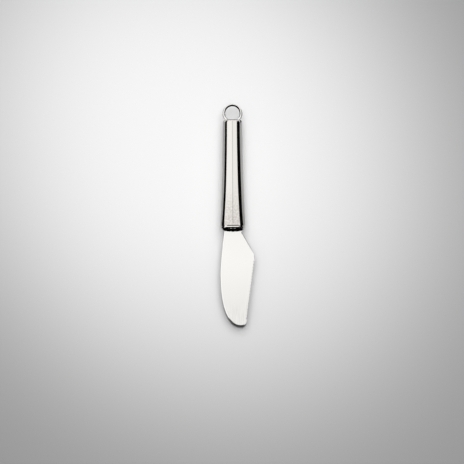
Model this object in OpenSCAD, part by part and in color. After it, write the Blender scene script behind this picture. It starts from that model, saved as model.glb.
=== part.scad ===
// Butter knife: a flat serrated blade in a hollow round steel handle with a hanging ring.
// It lies flat with the blade level. +Y points at the ring, +X at the cutting edge, +Z up.

/* [Handle] */
// Length of the handle tube between the seams of its two caps
tube_l = 92.8; // [80:0.1:115]
// Outer radius of the tube at the ring end
ring_end_r = 8.6; // [8:0.1:9.5]
// Outer radius of the tube at the blade end
blade_end_r = 11; // [10.2:0.1:12.5]
// Wall of the tube
tube_wall = 0.8; // [0.6:0.05:1]
// How much of the flare is straight taper, the rest being a curve that steepens towards the blade
flare_taper_share = 0.3; // [0:0.05:1]
// Length at the blade end over which the flare dies out
flare_end_l = 5; // [3:0.5:8]

/* [Ring end cap] */
// Radius of the rounded shoulder
ring_cap_fillet = 2.7; // [2:0.1:3.2]
// Thickness of the end wall that the ring passes through
ring_cap_face = 0.6; // [0.5:0.05:0.7]
// Thickness of the side wall, from which the lip is turned
ring_cap_side = 1.5; // [1.3:0.05:1.7]
// Length of the lip inside the tube
ring_cap_lip = 4; // [3:0.5:6]
// Diameter of the two slanted holes
ring_hole_d = 4.2; // [4:0.1:4.6]

/* [Hanging ring] */
// Diameter of the ring, measured to the middle of the wire
ring_d = 15.4; // [14.6:0.1:16.4]
// Diameter of the wire
wire_d = 2.4; // [2:0.1:2.4]
// Slit between the two ends of the wire
wire_slit = 0.35; // [0.1:0.05:0.5]
// Play between the end wall and the arc of wire behind it
ring_play = 0.3; // [0.25:0.05:0.4]

/* [Front cap] */
// Radius of the rounded front edge
front_fillet = 3.6; // [2.8:0.1:4]
// Distance from where the front edge begins to round to the foremost point of the dome
front_dome_l = 4.6; // [4.4:0.1:5.4]
// Straight land between the seam and the rounded front edge
front_land = 0.75; // [0.75:0.05:1.2]
// Thickness of the cap's wall
front_cap_wall = 1.6; // [1.4:0.05:1.8]
// Length of the lip inside the tube
front_cap_lip = 3; // [2:0.5:5]
// How far the middle of the dome stands in front of the blade's shoulders
dome_lead = 0.45; // [0.2:0.05:0.6]
// Width of the groove that is turned at the seam with the tube
seam_groove_w = 1.3; // [0.3:0.05:1.4]
// Depth of that groove
seam_groove_depth = 0.15; // [0.05:0.05:0.25]

/* [Blade] */
// Length of the blade in front of the handle
blade_l = 85.1; // [75:0.1:95]
// Thickness of the sheet
blade_t = 1.5; // [1.2:0.05:1.8]
// Width of the blade where it leaves the handle
root_w = 15.7; // [14:0.1:16]
// Straight stretch of the cutting side between the handle and the slanted shoulder
shoulder_l = 0.9; // [0.5:0.1:2]
// Reach of the blade's back from the handle's axis, at its widest
back_reach = 11.4; // [9.8:0.05:12.2]
// Distance from the handle to where the back is widest
back_widest_y = 39; // [34:0.5:44]
// Reach of the cutting edge from the handle's axis, at the heel
heel_reach = 19.3; // [17.5:0.1:20.5]
// Distance from the handle to the top of the heel
heel_top_y = 21.1; // [19:0.1:23]
// Straight length of the heel, between the slanted shoulder and the teeth
heel_l = 4.9; // [3.5:0.1:6]
// Radius of the corner at the top of the heel
heel_r = 2; // [0.8:0.1:2.6]
// Radius of the rounded tip, on the edge side
tip_r = 5; // [4:0.1:6]
// Reach of the edge from the handle's axis, where the tip begins to round
tip_reach = 12; // [11:0.1:13.5]

/* [Teeth] */
// Distance between two neighbouring teeth
tooth_pitch = 2.7; // [2.2:0.1:3.4]
// Radius of the wheel marks that form the hollows between the teeth
tooth_hollow_r = 1.9; // [1.7:0.1:2.4]
// Depth of the hollows, measured on the edge
tooth_depth = 0.6; // [0.45:0.05:0.8]
// Width of the ground bevel
bevel_w = 3.2; // [2.4:0.1:4]
// Thickness of steel that the bevel leaves on the edge
edge_t = 0.4; // [0.3:0.05:0.6]

/* [Tang] */
// Length of the full-width root inside the front cap
root_l = 3.4; // [3:0.1:3.8]
// Width of the tang
tang_w = 11; // [9:0.1:12]
// How deep each face of the root and the tang is pressed in, so that the blade stops at the handle
tang_press = 0.1; // [0.05:0.01:0.2]
// Length of the tang behind the root
tang_l = 32; // [25:0.5:36]

/* [Tang filler] */
// Length of the filler
filler_l = 26; // [20:0.5:30]
// Distance from the front cap's lip to the filler
filler_set_back = 0.5; // [0.3:0.1:0.8]

/* [Fits] */
// Clearance between each lip and the tube, all round
lip_fit = 0.05; // [0.03:0.01:0.08]
// Clearance between the blade's root and the slot in the front cap, on each side
slot_fit = 0.06; // [0.03:0.01:0.1]
// Clearance between the pressed step in the blade's faces and the foremost point of the dome
step_fit = 0.05; // [0.03:0.01:0.1]
// Clearance round the filler, towards both the tube and the tang
filler_fit = 0.05; // [0.03:0.01:0.1]

/* [Hidden] */

// Facets of turned parts, and points along the curved profiles
turn_facets = 120;
wire_facets = 40;
flare_steps = 26;
flare_end_steps = 6;
fillet_steps = 12;
dome_steps = 8;
curve_steps = 22;
// Guide points of the curves of the back and of the belly, as shares of each curve's own run
root_sweep_share = 0.41;
back_guide_share = 0.3;
belly_guide_share = 0.64;
tip_guide_share = 0.66;
// Run-out of every cut past the face that it leaves
overrun = 1;

// Places along the handle's axis, from the blade's shoulders at zero
front_edge_y = front_dome_l - dome_lead;
front_seam_y = front_edge_y + front_land;
flare_end_y = front_seam_y + flare_end_l;
ring_seam_y = front_seam_y + tube_l;
ring_face_y = ring_seam_y + ring_cap_fillet;

// Flare: its growth up to where it begins to die out, and its slope there
flare_l = tube_l - flare_end_l;
flare_growth = (blade_end_r - ring_end_r) / (1 + (2 - flare_taper_share) * flare_end_l / flare_l / 2);
flare_slope = flare_growth * (2 - flare_taper_share) / flare_l;

// Ring: its centre, its pivot in the middle of the end wall, and the leg that crosses the wall there
ring_r = ring_d / 2;
wire_r = wire_d / 2;
ring_y = ring_face_y - ring_cap_face - ring_play - wire_r + ring_r;
pivot_y = ring_face_y - ring_cap_face / 2;
leg_x = sqrt(pow(ring_r, 2) - pow(ring_y - pivot_y, 2));
leg_slant = atan2(leg_x, ring_y - pivot_y);
// The wire bows inwards along the straight hole, so the hole is set in by half of that bow
hole_run = (ring_cap_face / 2 + wire_r * cos(leg_slant)) / sin(leg_slant);
hole_set_in = pow(hole_run, 2) / (2 * ring_r) / sin(leg_slant) / 2;

// Front cap: radius of the shallow crown that is tangent to the front fillet
crown_r = (pow(blade_end_r - front_fillet, 2) + pow(front_dome_l, 2) - pow(front_fillet, 2))
    / (2 * (front_dome_l - front_fillet));
crown_turn = asin((blade_end_r - front_fillet) / (crown_r - front_fillet));

// Thickness of the pressed root and tang
tang_t = blade_t - 2 * tang_press;

// Cutting edge: from the heel to the start of the rounded tip
heel_point = [heel_reach, -heel_top_y - heel_l];
tip_centre = [tip_reach - tip_r, tip_r - blade_l];
edge_run = tip_centre + [tip_r, 0] - heel_point;
edge_l = norm(edge_run);
edge_turn = atan2(edge_run.y, edge_run.x);
tooth_count = floor(edge_l / tooth_pitch);

// Middle of the whole knife, seen from above
mid_x = (heel_reach - max(blade_end_r, back_reach)) / 2;
mid_y = (ring_y + ring_r + wire_r - blade_l) / 2;

// Outer radius of the handle at a place along its axis
function handle_r(y) =
    let (s = (ring_seam_y - y) / flare_l)
    y < flare_end_y
        ? blade_end_r - flare_slope * pow(y - front_seam_y, 2) / (2 * flare_end_l)
        : ring_end_r + flare_growth * (flare_taper_share * s + (1 - flare_taper_share) * s * s);

// Evenly spaced places from one to another
function places(from, to, steps) = [for (i = [0:steps]) from + (to - from) * i / steps];

// Points of an arc, and of a cubic curve through two end points with two guide points
function arc(centre, r, from, to, steps) =
    [for (i = [0:steps]) let (a = from + (to - from) * i / steps) centre + r * [cos(a), sin(a)]];
function curve(a, b, c, d, steps) =
    [for (i = [0:steps]) let (t = i / steps, u = 1 - t)
        u * u * u * a + 3 * u * u * t * b + 3 * u * t * t * c + t * t * t * d];

// Lays a turned part along the handle: its height becomes +Y
module turn() {
    rotate([-90, 0, 0]) rotate_extrude($fn = turn_facets) children();
}

// Puts the origin under the middle of the knife, with the handle's widest part on z = 0
module place() {
    translate([-mid_x, -mid_y, blade_end_r]) children();
}

// Half section between two places along the axis, from one depth below the handle's outside to another
module tube_profile(y0, y1, outer_in, inner_in) {
    end = [for (y = places(y0, flare_end_y, flare_end_steps)) if (y < flare_end_y) y];
    ys = concat(end, places(max(y0, flare_end_y), y1, flare_steps));
    polygon(concat(
        [for (y = ys) [handle_r(y) - outer_in, y]],
        [for (i = [len(ys) - 1:-1:0]) [max(handle_r(ys[i]) - inner_in, 0), ys[i]]]
    ));
}

// Groove round the seam, half of it in the tube and half in the front cap
module seam_groove() {
    floor_r = blade_end_r - seam_groove_depth;
    open_r = blade_end_r + seam_groove_depth;
    turn() polygon([[floor_r, front_seam_y], [open_r, front_seam_y - seam_groove_w],
        [open_r, front_seam_y + seam_groove_w]]);
}

module handle_tube() {
    color("silver") place() difference() {
        turn() tube_profile(front_seam_y, ring_seam_y, 0, tube_wall);
        seam_groove();
    }
}

// Half section of the ring end cap: shoulder, thin end wall and turned lip
module ring_cap_profile() {
    lip_r = ring_end_r - tube_wall - lip_fit;
    bore_r = ring_end_r - ring_cap_side;
    shoulder_x = ring_end_r - ring_cap_fillet;
    bore_fillet = bore_r - shoulder_x;
    ceiling_y = ring_face_y - ring_cap_face;
    polygon(concat(
        [[bore_r, ring_seam_y - ring_cap_lip], [lip_r, ring_seam_y - ring_cap_lip], [lip_r, ring_seam_y]],
        arc([shoulder_x, ring_seam_y], ring_cap_fillet, 0, 90, fillet_steps),
        [[0, ring_face_y], [0, ceiling_y]],
        arc([shoulder_x, ceiling_y - bore_fillet], bore_fillet, 90, 0, fillet_steps)
    ));
}

// One slanted hole, along the leg of the ring that crosses the end wall
module ring_hole() {
    translate([leg_x - hole_set_in, pivot_y, 0]) rotate([0, 90, leg_slant])
        cylinder(d = ring_hole_d, h = 2 * ring_r, center = true, $fn = wire_facets);
}

module ring_cap() {
    color("silver") place() difference() {
        turn() ring_cap_profile();
        ring_hole();
        mirror([1, 0, 0]) ring_hole();
    }
}

// Half section of the domed front cap, with its land and its lip
module front_cap_profile() {
    lip_end_y = front_seam_y + front_cap_lip;
    lip_r = handle_r(lip_end_y) - tube_wall - lip_fit;
    bore_r = blade_end_r - front_cap_wall;
    crown_y = crown_r - dome_lead;
    fillet_c = [blade_end_r - front_fillet, front_edge_y];
    bend = 90 - crown_turn;
    polygon(concat(
        [[bore_r, lip_end_y], [lip_r, lip_end_y], [lip_r, front_seam_y], [blade_end_r, front_seam_y]],
        arc(fillet_c, front_fillet, 0, -bend, fillet_steps),
        arc([0, crown_y], crown_r, -bend, -90, dome_steps),
        arc([0, crown_y], crown_r - front_cap_wall, -90, -bend, dome_steps),
        arc(fillet_c, front_fillet - front_cap_wall, -bend, 0, fillet_steps)
    ));
}

module front_cap() {
    slot = [root_w + 2 * slot_fit, front_dome_l + overrun, tang_t + 2 * slot_fit];
    color("gray") place() difference() {
        turn() front_cap_profile();
        seam_groove();
        translate([-slot.x / 2, -dome_lead - overrun, -slot.z / 2]) cube(slot);
    }
}

// The filler is cast into the flared tube round the tang
module tang_filler() {
    y0 = front_seam_y + front_cap_lip + filler_set_back;
    slot = [tang_w + 2 * filler_fit, filler_l + 2 * overrun, tang_t + 2 * filler_fit];
    color("dimgray") place() difference() {
        turn() tube_profile(y0, y0 + filler_l, tube_wall + filler_fit, 2 * blade_end_r);
        translate([-slot.x / 2, y0 - overrun, -slot.z / 2]) cube(slot);
    }
}

// Outline of the blade in front of the handle, round from the root by the back, the belly and the tip
module blade_outline() {
    root = [-root_w / 2, 0];
    back = [-back_reach, -back_widest_y];
    back_guide = [0, back.y * back_guide_share];
    root_guide = [(back - root).x * root_sweep_share, back_guide.y];
    shoulder = [root_w / 2, -shoulder_l];
    heel_top = [heel_reach, -heel_top_y];
    slant = atan2(heel_reach - shoulder.x, heel_top_y + shoulder.y);
    corner_run = heel_r * tan(slant / 2);
    heel_centre = [heel_reach - heel_r, heel_top.y - corner_run];
    tip_low = [tip_centre.x, -blade_l];
    belly_guide = [0, (tip_low - back).y * belly_guide_share];
    tip_guide = [(tip_low - back).x * tip_guide_share, 0];
    polygon(concat(
        [[root_w / 2, root_l], [-root_w / 2, root_l]],
        curve(root, root + root_guide, back - back_guide, back, curve_steps),
        curve(back, back + belly_guide, tip_low - tip_guide, tip_low, curve_steps),
        arc(tip_centre, tip_r, -90, 0, fillet_steps),
        [heel_point],
        arc(heel_centre, heel_r, 0, slant, fillet_steps),
        [shoulder]
    ));
}

// Frame on the cutting edge: X runs from the heel to the tip, +Y points out of the steel,
// and +Z out of the ground face, which is the lower one
module on_edge() {
    translate([heel_point.x, heel_point.y, 0]) rotate([0, 0, edge_turn]) mirror([0, 0, 1]) children();
}

// Wedge of steel that the grinding takes off the lower face
module bevel_cut() {
    drop = blade_t - edge_t;
    slope = drop / bevel_w;
    translate([0, 0, blade_t / 2]) rotate([90, 0, 90])
        linear_extrude(height = edge_l + 2 * tip_r)
            polygon([[-bevel_w - overrun, slope * overrun], [overrun, slope * overrun],
                [overrun, -drop - slope * overrun]]);
}

// Hollow between two teeth, ground square across the edge at the slope of the bevel
module tooth_hollow() {
    grind = atan((blade_t - edge_t) / bevel_w);
    translate([0, 0, edge_t - blade_t / 2 - tooth_depth + tooth_hollow_r]) rotate([-90 - grind, 0, 0])
        cylinder(r = tooth_hollow_r, h = 2 * (bevel_w + overrun), center = true, $fn = wire_facets);
}

// Steel that pressing takes off both faces of the root and the tang
module pressed_faces() {
    step_y = -dome_lead - step_fit;
    press = [root_w + 2 * overrun, root_l + tang_l - step_y + overrun, tang_press + overrun];
    for (face = [0, 1]) mirror([0, 0, face])
        translate([-press.x / 2, step_y, tang_t / 2]) cube(press);
}

module blade() {
    color("gainsboro") place() difference() {
        translate([0, 0, -blade_t / 2]) linear_extrude(height = blade_t) {
            blade_outline();
            translate([-tang_w / 2, root_l - overrun]) square([tang_w, tang_l + overrun]);
        }
        pressed_faces();
        on_edge() {
            bevel_cut();
            for (i = [1:tooth_count]) translate([(i - 0.5) * tooth_pitch, 0, 0]) tooth_hollow();
        }
    }
}

// Open ring of wire, its ends meeting at the left
module hanging_ring() {
    slit = 2 * asin(wire_slit / ring_d);
    color("silver") place() translate([0, ring_y, 0]) rotate([0, 0, 180 + slit / 2])
        rotate_extrude(angle = 360 - slit, $fn = turn_facets)
            translate([ring_r, 0]) circle(r = wire_r, $fn = wire_facets);
}

handle_tube();
ring_cap();
front_cap();
tang_filler();
blade();
hanging_ring();
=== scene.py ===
"""Finish, light and camera for a butter knife with a round steel handle, a serrated blade and a ring."""

import math

import bmesh
import bpy
from mathutils import Euler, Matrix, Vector


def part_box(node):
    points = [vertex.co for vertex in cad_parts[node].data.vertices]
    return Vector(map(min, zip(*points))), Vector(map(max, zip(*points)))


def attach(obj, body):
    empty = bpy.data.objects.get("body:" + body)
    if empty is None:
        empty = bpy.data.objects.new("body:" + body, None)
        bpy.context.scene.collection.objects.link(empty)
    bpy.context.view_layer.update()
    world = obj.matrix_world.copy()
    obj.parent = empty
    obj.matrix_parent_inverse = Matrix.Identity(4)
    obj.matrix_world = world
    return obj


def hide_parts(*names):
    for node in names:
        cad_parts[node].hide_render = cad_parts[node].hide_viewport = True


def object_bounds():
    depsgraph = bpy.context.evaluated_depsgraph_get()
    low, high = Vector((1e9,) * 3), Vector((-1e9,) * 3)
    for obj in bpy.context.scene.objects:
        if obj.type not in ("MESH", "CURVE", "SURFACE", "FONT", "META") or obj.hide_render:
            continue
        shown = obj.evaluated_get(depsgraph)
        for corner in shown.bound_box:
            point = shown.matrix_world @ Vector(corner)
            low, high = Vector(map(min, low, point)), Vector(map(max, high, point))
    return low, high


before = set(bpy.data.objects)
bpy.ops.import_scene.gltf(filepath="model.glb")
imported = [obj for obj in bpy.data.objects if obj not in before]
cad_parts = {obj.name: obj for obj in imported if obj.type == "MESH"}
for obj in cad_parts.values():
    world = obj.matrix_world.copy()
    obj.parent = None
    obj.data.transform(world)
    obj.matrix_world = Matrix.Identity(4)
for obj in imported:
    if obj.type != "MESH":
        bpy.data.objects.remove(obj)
CAD_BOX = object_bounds()

MM = 0.001

# The pieces' own places: the handle's axis, its seam with the front cap, the cap's front, the tip, the ring
TUBE_LOW, TUBE_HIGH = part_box("handle_tube")
AXIS_X = (TUBE_LOW.x + TUBE_HIGH.x) / 2
AXIS_Z = (TUBE_LOW.z + TUBE_HIGH.z) / 2
SEAM_Y = TUBE_LOW.y
FRONT_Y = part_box("front_cap")[0].y
TIP_Y = CAD_BOX[0].y
RING_LOW, RING_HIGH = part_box("hanging_ring")
WIRE = RING_HIGH.z - RING_LOW.z
RING_OUTER = (RING_HIGH.x - RING_LOW.x) / 2
RING_INNER = RING_OUTER - WIRE
RING_X = (RING_LOW.x + RING_HIGH.x) / 2
RING_Y = RING_HIGH.y - RING_OUTER

# What the photograph shows of the place: its width, the point in its middle and the knife's lean in it
PHOTO_SPAN = 417.6 * MM
PHOTO_MIDDLE = Vector((AXIS_X - 0.86 * MM, TIP_Y + 84.47 * MM, AXIS_Z))
PHOTO_LEAN = math.radians(0.28)
CAMERA_HEIGHT = 1.2
CAMERA_NEAR, CAMERA_FAR = 0.05, 20

# The paper's light, painted into its colour: its width and lean across the picture, how it falls off over
# decimetres, and its levels
DECIMETRE = 0.1
PAPER_WIDE = 1.09
PAPER_LEAN = 0.14
PAPER_FALL = 0.075
PAPER_EDGE = 2.9
PAPER_DIM = 0.3
PAPER_PALE = 0.925
PAPER_REACH = 2.5
PAPER_BRIGHTEST = Vector((AXIS_X - 37 * MM, CAD_BOX[1].y - 33 * MM, 0))

# How much darker the steel sees the paper, a painted shade, and where this ends behind the ring
PAPER_MIRRORED = 0.45
PAPER_CLEARS = (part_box("ring_cap")[1].y + 2 * MM, CAD_BOX[1].y + 2 * MM)

# The sky that the steel mirrors: its fade at the horizon and its level, a dimmer slit along the handle, and
# its right half. Places in it are across and along the knife, as parts of the height.
SKY_LOWEST = 0.01
SKY_FADE = (0.02, 0.05)
SKY_LEVEL = 1.25
SKY_WARM = (1.0, 0.985, 0.965)
BACKDROP_GREY = 0.45
SLIT_ACROSS = (-0.09, 0.05)
SLIT_ALONG = (0.03, 0.07)
SLIT_BLUR = 0.04
SLIT_DIM = 0.35
RIGHT_HALF = (-0.04, 0.04)
RIGHT_DIM = 0.06

# Black cards beside the handle, in mm: along it from its front, away from its axis, and tall
CARD_BLACK = 0.004
FLAG_LEFT = [(-7, 24, 16.2), (5, 25, 17), (12, 32, 19), (26, 43.5, 24), (48, 63, 34.7), (95, 74.5, 46),
             (175, 74.5, 46)]
FLAG_RIGHT = [(-7, 36, 28), (5, 38, 29), (12, 52, 37), (26, 72, 52), (48, 80, 68), (95, 110, 98),
              (175, 110, 98)]

# The card on the paper under the ring, in mm: across, along from the handle's front, and its height
UNDER_RING_ACROSS = (-6, 60)
UNDER_RING_ALONG = (101, 113)
UNDER_RING_HIGH = 0.2

# Two cards at the front cap, in mm: both follow its domed front, given as places across and back from its
# middle. Each has a lower and an upper edge, given as its lean towards the ring and its height.
ROUND_DOME = [(-13, 0.6), (-7, 0.6), (-3.5, 0.1), (0, -0.1), (3.5, 0.1), (7, 0.6), (13, 0.6)]
AT_COLLAR = [(0, 12.5), (1.33, 23.3)]
OVER_COLLAR = [(1.36, 23.55), (2.3, 31)]

# The grain of each polish, in lines per metre across and along the knife
DRAWN_GRAIN = [(9000, 150), (900, 20)]
GROUND_GRAIN = [(7000, 260), (700, 30)]
TURNED_GRAIN = 9000
BUFFED_GRAIN = 4000
CAST_GRAIN = 1500
RUBBED_GRAIN = (2400, 90)
WORN_GRAIN = 650
FINE_SHARE = 0.6

# How the grain tints the steel, roughens it and stands out of it
GRAIN_TINT = 0.03
GRAIN_ROUGHNESS = 0.03
GRAIN_RELIEF = 0.25

# Where the marks of use and the painted shade and reflections lie: the stretches over which each one shows
# or fades, its blur and its strength
PALM_WEAR = (SEAM_Y + 2 * MM, SEAM_Y + 42 * MM)
PALM_PATCHES = (0.3, 0.7)
PALM_LEAST = 0.3
# Painted reflection: the seam's dark line stands in for the dark wall of its groove
SEAM_LINE = (SEAM_Y - 0.02 * MM, SEAM_Y + 0.82 * MM)
SEAM_BLUR = 0.06 * MM
SEAM_ENDS = (3.8 * MM, 5.8 * MM)
# Painted reflection: the dark line where the front edge begins to round
EDGE_LINE = (SEAM_Y - 1.75 * MM, SEAM_Y - 0.82 * MM)
EDGE_BLUR = 0.05 * MM
EDGE_ENDS = (6.0 * MM, 8.0 * MM)
# Painted shade: the blade darker towards its tip
PAINTED_HAZE_STRETCH = (TIP_Y + 10 * MM, TIP_Y + 64 * MM)
PAINTED_HAZE_SHARE = 0.5
RUB_STRETCH = (TIP_Y + 4 * MM, TIP_Y + 30 * MM)
RUB_LINES = (0.42, 0.7)
RUB_SHARES = (-0.05, 0.5)
# Painted reflection: the tip's rim painted dark
PAINTED_RIM_STRETCH = (TIP_Y + 5 * MM, TIP_Y + 9 * MM)
PAINTED_RIM_SHARE = 0.95
# Painted reflection: the wire's inner side painted black
PAINTED_WIRE_WIDENS = (RING_Y + 1 * MM, RING_Y + 6.5 * MM)
PAINTED_WIRE_WIDTHS = (0.28 * WIRE, 0.52 * WIRE)
PAINTED_WIRE_BLUR = 0.1 * WIRE
PAINTED_WIRE_STARTS = (RING_Y - 5 * MM, RING_Y)

# The cast resin round the tang
RESIN_DARK, RESIN_PALE = (0.13, 0.12, 0.11, 1), (0.19, 0.18, 0.17, 1)
RESIN_ROUGHNESS = (0.7, 0.95)
RESIN_RELIEF = 0.5
RESIN_DEPTH = 0.1 * MM

# The blade's rounded rim, how it is told from the teeth, and the ring's rounded wire ends
RIM_ROUND = 0.72 * MM
RIM_STEPS = 6
RIM_WALL = 1.1 * MM
SAME_POINT = 0.001 * MM
SAME_PLANE = math.radians(0.5)
LEVEL = 0.999
UPRIGHT = 0.001
ROOT_PLAY = 0.02 * MM
SHARP_EDGE = math.radians(10)
WIRE_SAME_POINT = 0.005 * MM
WIRE_END_ANGLE = math.radians(60)
WIRE_END_ROUND = 0.45 * MM
WIRE_END_STEPS = 4

# The card that deepens the shadow of the tip: its length, and its shift from the paper right under the tip
TIP_SHADE_LONG = 26 * MM
TIP_SHADE_SHIFT = Vector((-0.1, -2.5, 1.4)) * MM


class Value:
    """A number that changes over a surface. Sums on it add Math nodes."""

    def __init__(self, finish, socket):
        self.finish, self.socket = finish, socket

    def sum(self, operation, *terms):
        return self.finish.node("Math", {"operation": operation}, dict(enumerate(terms)))

    def __add__(self, other):
        return self.sum("ADD", self, other)

    def __sub__(self, other):
        return self.sum("SUBTRACT", self, other)

    def __rsub__(self, other):
        return self.sum("SUBTRACT", other, self)

    def __mul__(self, other):
        return self.sum("MULTIPLY", self, other)

    def __truediv__(self, other):
        return self.sum("DIVIDE", self, other)

    def __rtruediv__(self, other):
        return self.sum("DIVIDE", other, self)

    def __abs__(self):
        return self.sum("ABSOLUTE", self)

    __radd__, __rmul__ = __add__, __mul__

    def out(self, name):
        """Another output of the node that this value comes from."""
        return Value(self.finish, self.socket.node.outputs[name])


class Finish:
    """The node tree of one material, or of the world."""

    def __init__(self, owner):
        owner.use_nodes = True
        self.owner, self.tree = owner, owner.node_tree
        self.tree.nodes.clear()

    def node(self, kind, settings=None, sockets=None, out=0):
        """Adds a node, sets its settings and then its sockets, and gives one of its outputs."""
        made = self.tree.nodes.new("ShaderNode" + kind)
        for name, setting in (settings or {}).items():
            setattr(made, name, setting)
        for name, term in (sockets or {}).items():
            if isinstance(term, Value):
                self.tree.links.new(term.socket, made.inputs[name])
            else:
                made.inputs[name].default_value = term
        return Value(self, made.outputs[out])

    def place(self, output="Object"):
        return self.node("TexCoord", out=output)

    def stretched(self, vector, scale):
        """The same place with each direction scaled by itself."""
        return self.node("VectorMath", {"operation": "MULTIPLY"}, {0: vector, 1: scale})

    def parts(self, vector):
        """The three numbers of a place or a direction."""
        x = self.node("SeparateXYZ", sockets={"Vector": vector})
        return x, x.out("Y"), x.out("Z")

    def length(self, **parts):
        """The length of a vector, from those of its three numbers that aren't zero."""
        vector = self.node("CombineXYZ", sockets=parts)
        return self.node("VectorMath", {"operation": "LENGTH"}, {0: vector}, out="Value")

    def noise(self, vector, scale=1.0, detail=2.0):
        return self.node("TexNoise", sockets={"Vector": vector, "Scale": scale, "Detail": detail})

    def streaks(self, across, along, detail=2.0):
        """Noise drawn out along the knife."""
        return self.noise(self.stretched(self.place(), (across, along, across)), detail=detail)

    def ramp(self, value, low, high, to_low=0.0, to_high=1.0):
        """Goes smoothly from one number to another as value goes from low to high."""
        return self.node("MapRange", {"interpolation_type": "SMOOTHSTEP"},
                         {"Value": value, 1: low, 2: high, 3: to_low, 4: to_high})

    def fade(self, value, low, high):
        """Falls smoothly from 1 to 0 as value goes from low to high."""
        return self.ramp(value, low, high, 1.0, 0.0)

    def between(self, value, low, high, blur):
        """1 between two limits and 0 outside them, with soft borders."""
        return self.ramp(value, low - blur, low + blur) * self.fade(value, high - blur, high + blur)

    def blend(self, share, first, second):
        """Mixes two colours."""
        return self.node("Mix", {"data_type": "RGBA"}, {"Factor": share, 6: first, 7: second}, out=2)

    def bump(self, height, strength, depth):
        return self.node("Bump", sockets={"Height": height, "Strength": strength, "Distance": depth})

    def close(self, shader, kind="OutputMaterial"):
        surface = self.tree.nodes.new("ShaderNode" + kind).inputs["Surface"]
        self.tree.links.new(shader.socket, surface)
        return self.owner


def rgb(r, g, b):
    return (r, g, b, 1.0)


def grey(level):
    return rgb(level, level, level)


def shaded(colour, share):
    """A colour made darker or lighter, at most white."""
    return rgb(*(min(part * share, 1) for part in colour))


def steel(name, colour, roughness, lines, line_depth, marks=()):
    """Bare stainless steel. lines gives the grain of its polish, and line_depth how deep that is. Each mark
    says where it shows, from 0 to 1, and its colour."""
    finish = Finish(bpy.data.materials.new(name))
    grain = lines(finish)
    shade = finish.blend(grain, shaded(colour, 1 - GRAIN_TINT), shaded(colour, 1 + GRAIN_TINT))
    for where, mark in marks:
        shade = finish.blend(where(finish), shade, mark)
    return finish.close(finish.node("BsdfPrincipled", sockets={
        "Base Color": shade,
        "Metallic": 1.0,
        "Roughness": finish.ramp(grain, 0, 1, roughness - GRAIN_ROUGHNESS, roughness + GRAIN_ROUGHNESS),
        "Normal": finish.bump(grain, GRAIN_RELIEF, line_depth),
    }))


def grained(finish, grain):
    """Fine lines along the knife, with broad soft ones between them."""
    fine, broad = [finish.streaks(across, along) for across, along in grain]
    return fine * FINE_SHARE + broad * (1 - FINE_SHARE)


def drawn_lines(finish):
    """The lines that drawing the tube left along the handle."""
    return grained(finish, DRAWN_GRAIN)


def ground_lines(finish):
    """The satin grain along the blade."""
    return grained(finish, GROUND_GRAIN)


def turned_lines(finish):
    """Fine rings round the handle's axis, as a turned and buffed cap has."""
    x, y, z = finish.parts(finish.place())
    radius = finish.length(X=x - AXIS_X, Z=z - AXIS_Z)
    rings = finish.node("CombineXYZ", sockets={"X": radius, "Y": y})
    return finish.noise(finish.stretched(rings, (TURNED_GRAIN, TURNED_GRAIN, 0)))


def even_polish(finish):
    return finish.noise(finish.place(), scale=BUFFED_GRAIN)


def worn_at_blade_end(finish):
    """Small dull patches in the polish of the tube's last 4 cm, where a hand rubs it most."""
    place = finish.place()
    x, y, z = finish.parts(place)
    patches = finish.noise(finish.stretched(place, (WORN_GRAIN, WORN_GRAIN, WORN_GRAIN)), detail=4.0)
    return finish.fade(y, *PALM_WEAR) * finish.ramp(patches, *PALM_PATCHES, PALM_LEAST, 1.0)


def seam_joint_and_painted_reflection(finish):
    """Dark joint line in the seam with the front cap, darkened further as a painted reflection, and fading
    at the handle's sides.
    """
    x, y, z = finish.parts(finish.place())
    return finish.between(y, *SEAM_LINE, SEAM_BLUR) * finish.fade(abs(x - AXIS_X), *SEAM_ENDS)


def painted_edge_reflection(finish):
    """Fine dark line, a painted reflection, where the front edge begins to round."""
    x, y, z = finish.parts(finish.place())
    return finish.between(y, *EDGE_LINE, EDGE_BLUR) * finish.fade(abs(x - AXIS_X), *EDGE_ENDS)


def painted_shade_and_rub_lines(finish):
    """Painted shade in the blade's last 6 cm, darker towards the tip, with rubbing lines in the last 3 cm.
    """
    x, y, z = finish.parts(finish.place())
    lines = finish.ramp(finish.streaks(*RUBBED_GRAIN, detail=3.0), *RUB_LINES, *RUB_SHARES)
    return finish.fade(y, *PAINTED_HAZE_STRETCH) * PAINTED_HAZE_SHARE + finish.fade(y, *RUB_STRETCH) * lines


def painted_tip_rim_reflection(finish):
    """The rim of the very tip, painted dark: a painted reflection of the shadow that the tip lies in."""
    x, y, z = finish.parts(finish.place())
    return finish.fade(y, *PAINTED_RIM_STRETCH) * PAINTED_RIM_SHARE


def painted_inner_wire_reflection(finish):
    """The inner side of the wire, painted black as a painted reflection of the dark surroundings, and widest
    at its far end.
    """
    x, y, z = finish.parts(finish.place())
    radius = finish.length(X=x - RING_X, Y=y - RING_Y)
    wide = finish.ramp(y, *PAINTED_WIRE_WIDENS, *PAINTED_WIRE_WIDTHS)
    return finish.fade(radius - wide, RING_INNER, RING_INNER + PAINTED_WIRE_BLUR) * finish.ramp(y, *PAINTED_WIRE_STARTS)


def cast_resin():
    finish = Finish(bpy.data.materials.new("cast resin"))
    grain = finish.noise(finish.place(), scale=CAST_GRAIN)
    return finish.close(finish.node("BsdfPrincipled", sockets={
        "Base Color": finish.blend(grain, RESIN_DARK, RESIN_PALE),
        "Roughness": finish.ramp(grain, 0, 1, *RESIN_ROUGHNESS),
        "Normal": finish.bump(grain, RESIN_RELIEF, RESIN_DEPTH),
    }))


def put(name, data):
    """A new object in the scene."""
    made = bpy.data.objects.new(name, data)
    bpy.context.scene.collection.objects.link(made)
    return made


def dress(node, material):
    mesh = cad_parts[node].data
    mesh.materials.clear()
    mesh.materials.append(material)


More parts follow.
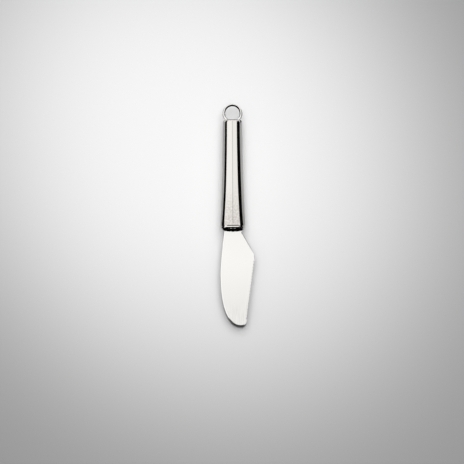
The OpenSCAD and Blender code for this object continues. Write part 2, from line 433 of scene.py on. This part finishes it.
def studio_sky():
    """One wide soft light overhead, dimmer in a slit along the handle. The camera sees a pale backdrop."""
    finish = Finish(bpy.data.worlds.new("studio"))
    bpy.context.scene.world = finish.owner
    finish.owner.cycles_visibility.diffuse = False
    x, y, z = finish.parts(finish.place("Generated"))
    height = finish.node("Math", {"operation": "MAXIMUM"}, {0: z, 1: SKY_LOWEST})
    across, along = x / height, y / height
    slit = finish.between(across, *SLIT_ACROSS, SLIT_BLUR) * finish.ramp(along, *SLIT_ALONG)
    right_half = finish.ramp(across, *RIGHT_HALF)
    light = finish.ramp(z, *SKY_FADE) * (1 - slit * SLIT_DIM) * (1 - right_half * RIGHT_DIM) * SKY_LEVEL
    to_camera = finish.node("LightPath", out="Is Camera Ray")
    strength = light * (1 - to_camera) + to_camera
    colour = finish.blend(to_camera, rgb(*SKY_WARM), grey(BACKDROP_GREY))
    finish.close(finish.node("Background", sockets={"Color": colour, "Strength": strength}), "OutputWorld")


def lamp(name, from_left, from_ring_end, spread, share):
    """A soft lamp far away, which lights the paper and which the steel doesn't mirror."""
    light = bpy.data.lights.new(name, "SUN")
    light.angle = 2 * math.atan(spread)
    towards = Vector((-from_left, from_ring_end, 1))
    light.energy = math.pi * share / towards.normalized().z
    made = put(name, light)
    made.rotation_euler = towards.to_track_quat("Z", "Y").to_euler()
    made.visible_glossy = False


def paper():
    """Pale paper with a painted pool of light, brightest to the left of the ring and falling off towards its
    edges. The steel sees it darker, a painted shade, except behind the ring."""
    finish = Finish(bpy.data.materials.new("pale paper"))
    x, y, z = finish.parts(finish.place())
    down = (y - PAPER_BRIGHTEST.y) / DECIMETRE
    side = (x - PAPER_BRIGHTEST.x) / DECIMETRE * PAPER_WIDE + down * PAPER_LEAN
    away = finish.node("Math", {"operation": "POWER"}, {0: side * side + down * down, 1: PAPER_EDGE / 2})
    falloff = finish.node("Math", {"operation": "EXPONENT"}, {0: away * -PAPER_FALL})
    shade = finish.blend(falloff, grey(PAPER_DIM), grey(PAPER_PALE))
    mirrored = finish.node("LightPath", out="Is Glossy Ray")
    beside = finish.ramp(y, *PAPER_CLEARS, PAPER_MIRRORED, 0.0)
    seen = finish.blend(mirrored * beside, shade, grey(0.0))
    return finish.close(finish.node("BsdfDiffuse", sockets={"Color": seen}))


def black_card():
    finish = Finish(bpy.data.materials.new("black card"))
    return finish.close(finish.node("BsdfDiffuse", sockets={"Color": grey(CARD_BLACK)}))


def sheet(name, corners, material):
    """One flat or folded stage piece, from two rows of corners of the same length."""
    low, high = corners
    mesh = bpy.data.meshes.new(name)
    faces = [(i, i + 1, len(low) + i + 1, len(low) + i) for i in range(len(low) - 1)]
    mesh.from_pydata(low + high, [], faces)
    mesh.materials.append(material)
    made = put(name, mesh)
    return made


def floor():
    rows = [[(side * PAPER_REACH, end * PAPER_REACH, 0) for side in (-1, 1)] for end in (-1, 1)]
    sheet("floor", rows, paper())


def flags():
    """Black cards that only the steel sees. Two stand beside the handle, nearer and lower towards the blade,
    and draw the dark lines along it. One lies on the paper under the ring. Two lean over the front cap, with
    a gap that draws the fine light line in its front."""
    black = black_card()

    def corner(across, along, height):
        return (AXIS_X + across * MM, FRONT_Y + along * MM, height * MM)

    cards = []
    for name, side, folds in (("flag_left", -1, FLAG_LEFT), ("flag_right", 1, FLAG_RIGHT)):
        low = [corner(side * away, along, 0) for along, away, tall in folds]
        high = [corner(side * away, along, tall) for along, away, tall in folds]
        cards.append(sheet(name, (low, high), black))
    under_ring = [[corner(across, along, UNDER_RING_HIGH) for across in UNDER_RING_ACROSS]
                  for along in UNDER_RING_ALONG]
    cards.append(sheet("flag_under_ring", under_ring, black))
    for name, edges in (("flag_at_collar", AT_COLLAR), ("flag_over_collar", OVER_COLLAR)):
        rows = [[corner(across, back + lean, tall) for across, back in ROUND_DOME] for lean, tall in edges]
        cards.append(sheet(name, rows, black))
    for card in cards:
        card.visible_camera = card.visible_diffuse = card.visible_shadow = False


def camera():
    lens = bpy.data.cameras.new("camera")
    lens.lens = lens.sensor_width * CAMERA_HEIGHT / PHOTO_SPAN
    lens.clip_start, lens.clip_end = CAMERA_NEAR, CAMERA_FAR
    made = put("camera", lens)
    made.location = PHOTO_MIDDLE + Vector((0, 0, CAMERA_HEIGHT))
    made.rotation_euler = Euler((0, 0, -PHOTO_LEAN))
    bpy.context.scene.camera = made


def blade_rim(work):
    """The edges between the blade's flats and its upright walls, except at the teeth and the root."""
    rim = []
    for edge in work.edges:
        if len(edge.link_faces) != 2 or max(v.co.y for v in edge.verts) > FRONT_Y - ROOT_PLAY:
            continue
        flat, wall = sorted(edge.link_faces, key=lambda face: -abs(face.normal.z))
        tall = max(v.co.z for v in wall.verts) - min(v.co.z for v in wall.verts)
        if abs(flat.normal.z) > LEVEL and abs(wall.normal.z) < UPRIGHT and tall > RIM_WALL:
            rim.append(edge)
    return rim


def eased_blade(rim_steel):
    """The blade with its rim rounded and polished, as buffing leaves it, in a lighter steel that paints a
    highlight on it, except along the teeth.
    """
    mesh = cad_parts["blade"].data.copy()
    work = bmesh.new()
    work.from_mesh(mesh)
    bmesh.ops.remove_doubles(work, verts=work.verts, dist=SAME_POINT)
    bmesh.ops.dissolve_limit(work, angle_limit=SAME_PLANE, verts=work.verts, edges=work.edges)
    work.normal_update()
    bmesh.ops.bevel(work, geom=blade_rim(work), offset=RIM_ROUND, segments=RIM_STEPS, profile=0.5,
                    affect="EDGES", clamp_overlap=False, material=1)
    work.to_mesh(mesh)
    work.free()
    mesh.shade_smooth()
    mesh.set_sharp_from_angle(angle=SHARP_EDGE)
    mesh.materials.append(rim_steel)
    made = put("eased_blade", mesh)
    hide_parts("blade")
    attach(made, "knife")
    return made


def shade_under_tip(blade):
    """A black card like the blade's end, low over the paper and hidden from the camera. It deepens the
    shadow there, because the real knife's tip lies on the table."""
    work = bmesh.new()
    work.from_mesh(blade.data)
    cut = Vector((0, TIP_Y + TIP_SHADE_LONG, 0))
    bmesh.ops.bisect_plane(work, geom=work.verts[:] + work.edges[:] + work.faces[:], plane_co=cut,
                           plane_no=(0, 1, 0), clear_outer=True)
    down = TIP_SHADE_SHIFT - Vector((0, 0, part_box("blade")[0].z))
    bmesh.ops.translate(work, verts=work.verts, vec=down)
    mesh = bpy.data.meshes.new("shade_under_tip")
    work.to_mesh(mesh)
    work.free()
    mesh.materials.append(black_card())
    made = put("shade_under_tip", mesh)
    made.visible_camera = False


def ease_wire_ends():
    """Rounds the two cut ends of the ring's wire, so that their joint shows as a notch."""
    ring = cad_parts["hanging_ring"]
    weld = ring.modifiers.new("weld", "WELD")
    weld.merge_threshold = WIRE_SAME_POINT
    easing = ring.modifiers.new("eased ends", "BEVEL")
    easing.limit_method, easing.angle_limit = "ANGLE", WIRE_END_ANGLE
    easing.width, easing.segments = WIRE_END_ROUND, WIRE_END_STEPS


# Near-black for the seam's joint line and painted reflection, and the front edge's painted reflection
JOINT_AND_PAINTED_DARK = rgb(0.02, 0.018, 0.016)
DULL_PATCH = rgb(0.51, 0.485, 0.465)
# Colour of the painted shade on the blade's end and of its rubbing lines
SHADED_AND_RUBBED_STEEL = rgb(0.62, 0.62, 0.61)
# Painted reflection on the tip's rim
PAINTED_RIM_DARK = grey(0.04)
# Painted reflection on the wire's inner side
PAINTED_WIRE_BLACK = grey(0.004)

HANDLE_STEEL = steel("drawn handle steel", (0.71, 0.70, 0.68), roughness=0.05, lines=drawn_lines,
                     line_depth=0.002 * MM, marks=[(worn_at_blade_end, DULL_PATCH), (seam_joint_and_painted_reflection, JOINT_AND_PAINTED_DARK)])
CAP_STEEL = steel("turned cap steel", (0.70, 0.69, 0.67), roughness=0.05, lines=turned_lines,
                  line_depth=0.002 * MM)
FRONT_STEEL = steel("bright turned steel", (0.84, 0.83, 0.81), roughness=0.05, lines=turned_lines,
                    line_depth=0.002 * MM, marks=[(seam_joint_and_painted_reflection, JOINT_AND_PAINTED_DARK), (painted_edge_reflection, JOINT_AND_PAINTED_DARK)])
BLADE_STEEL = steel("satin blade steel", (0.79, 0.79, 0.78), roughness=0.16, lines=ground_lines,
                    line_depth=0.004 * MM, marks=[(painted_shade_and_rub_lines, SHADED_AND_RUBBED_STEEL)])
# The rim's steel is lighter than the blade's: a painted highlight on its rounding
RIM_STEEL = steel("polished rim steel", (0.86, 0.86, 0.85), roughness=0.08, lines=even_polish,
                  line_depth=0.001 * MM, marks=[(painted_tip_rim_reflection, PAINTED_RIM_DARK)])
RING_STEEL = steel("bright wire steel", (0.80, 0.80, 0.79), roughness=0.05, lines=even_polish,
                   line_depth=0.001 * MM, marks=[(painted_inner_wire_reflection, PAINTED_WIRE_BLACK)])
dress("handle_tube", HANDLE_STEEL)
dress("ring_cap", CAP_STEEL)
dress("front_cap", FRONT_STEEL)
dress("blade", BLADE_STEEL)
dress("hanging_ring", RING_STEEL)
dress("tang_filler", cast_resin())
shade_under_tip(eased_blade(RIM_STEEL))
ease_wire_ends()

lamp("key lamp", from_left=-0.02, from_ring_end=0.45, spread=0.47, share=0.65)
lamp("fill lamp", from_left=0.0, from_ring_end=0.0, spread=1.5, share=0.35)
studio_sky()
floor()
flags()
camera()
bpy.context.scene.view_settings.view_transform = "Standard"
